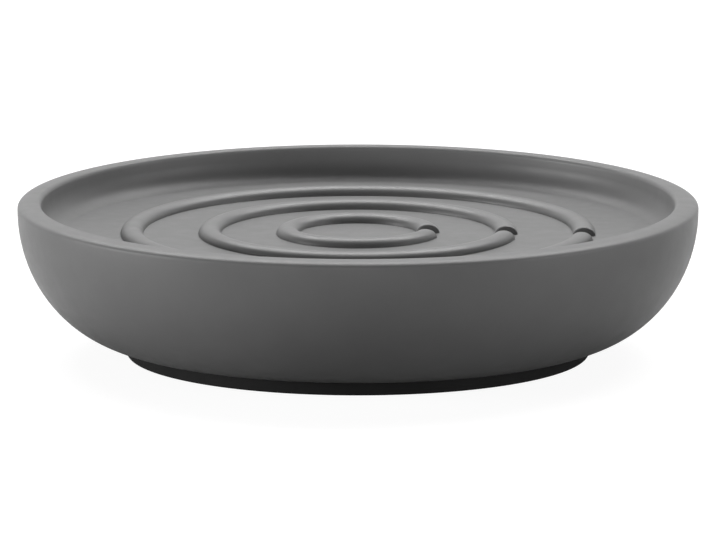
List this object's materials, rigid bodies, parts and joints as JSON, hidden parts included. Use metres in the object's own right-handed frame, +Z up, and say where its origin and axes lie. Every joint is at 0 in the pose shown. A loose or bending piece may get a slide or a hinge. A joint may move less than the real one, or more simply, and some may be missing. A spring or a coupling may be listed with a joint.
{
  "type": "soap dish",
  "caption": "Round soap dish: a shallow tray with concentric split drain ribs on a hollow bowl-shaped body, closed underneath by a plate on a non-slip foot ring.",
  "frame": {"origin": "on the dish's axis, in the plane that the foot ring stands on", "axes": "+Z up along the dish's axis, +X along the drain slot that parts the ribs"},
  "size_m": [0.12, 0.12, 0.0271],
  "materials": {
    "dish": "soft-touch matt grey",
    "ribs": "matt grey silicone bead",
    "plate": "plain moulded dark grey",
    "foot": "dark non-slip rubber"
  },
  "bodies": {
    "root": {"dish_body": "dish", "rib_inner": "ribs", "rib_middle": "ribs", "rib_outer": "ribs", "base_plate": "plate", "foot_ring": "foot"}
  },
  "joints": []
}
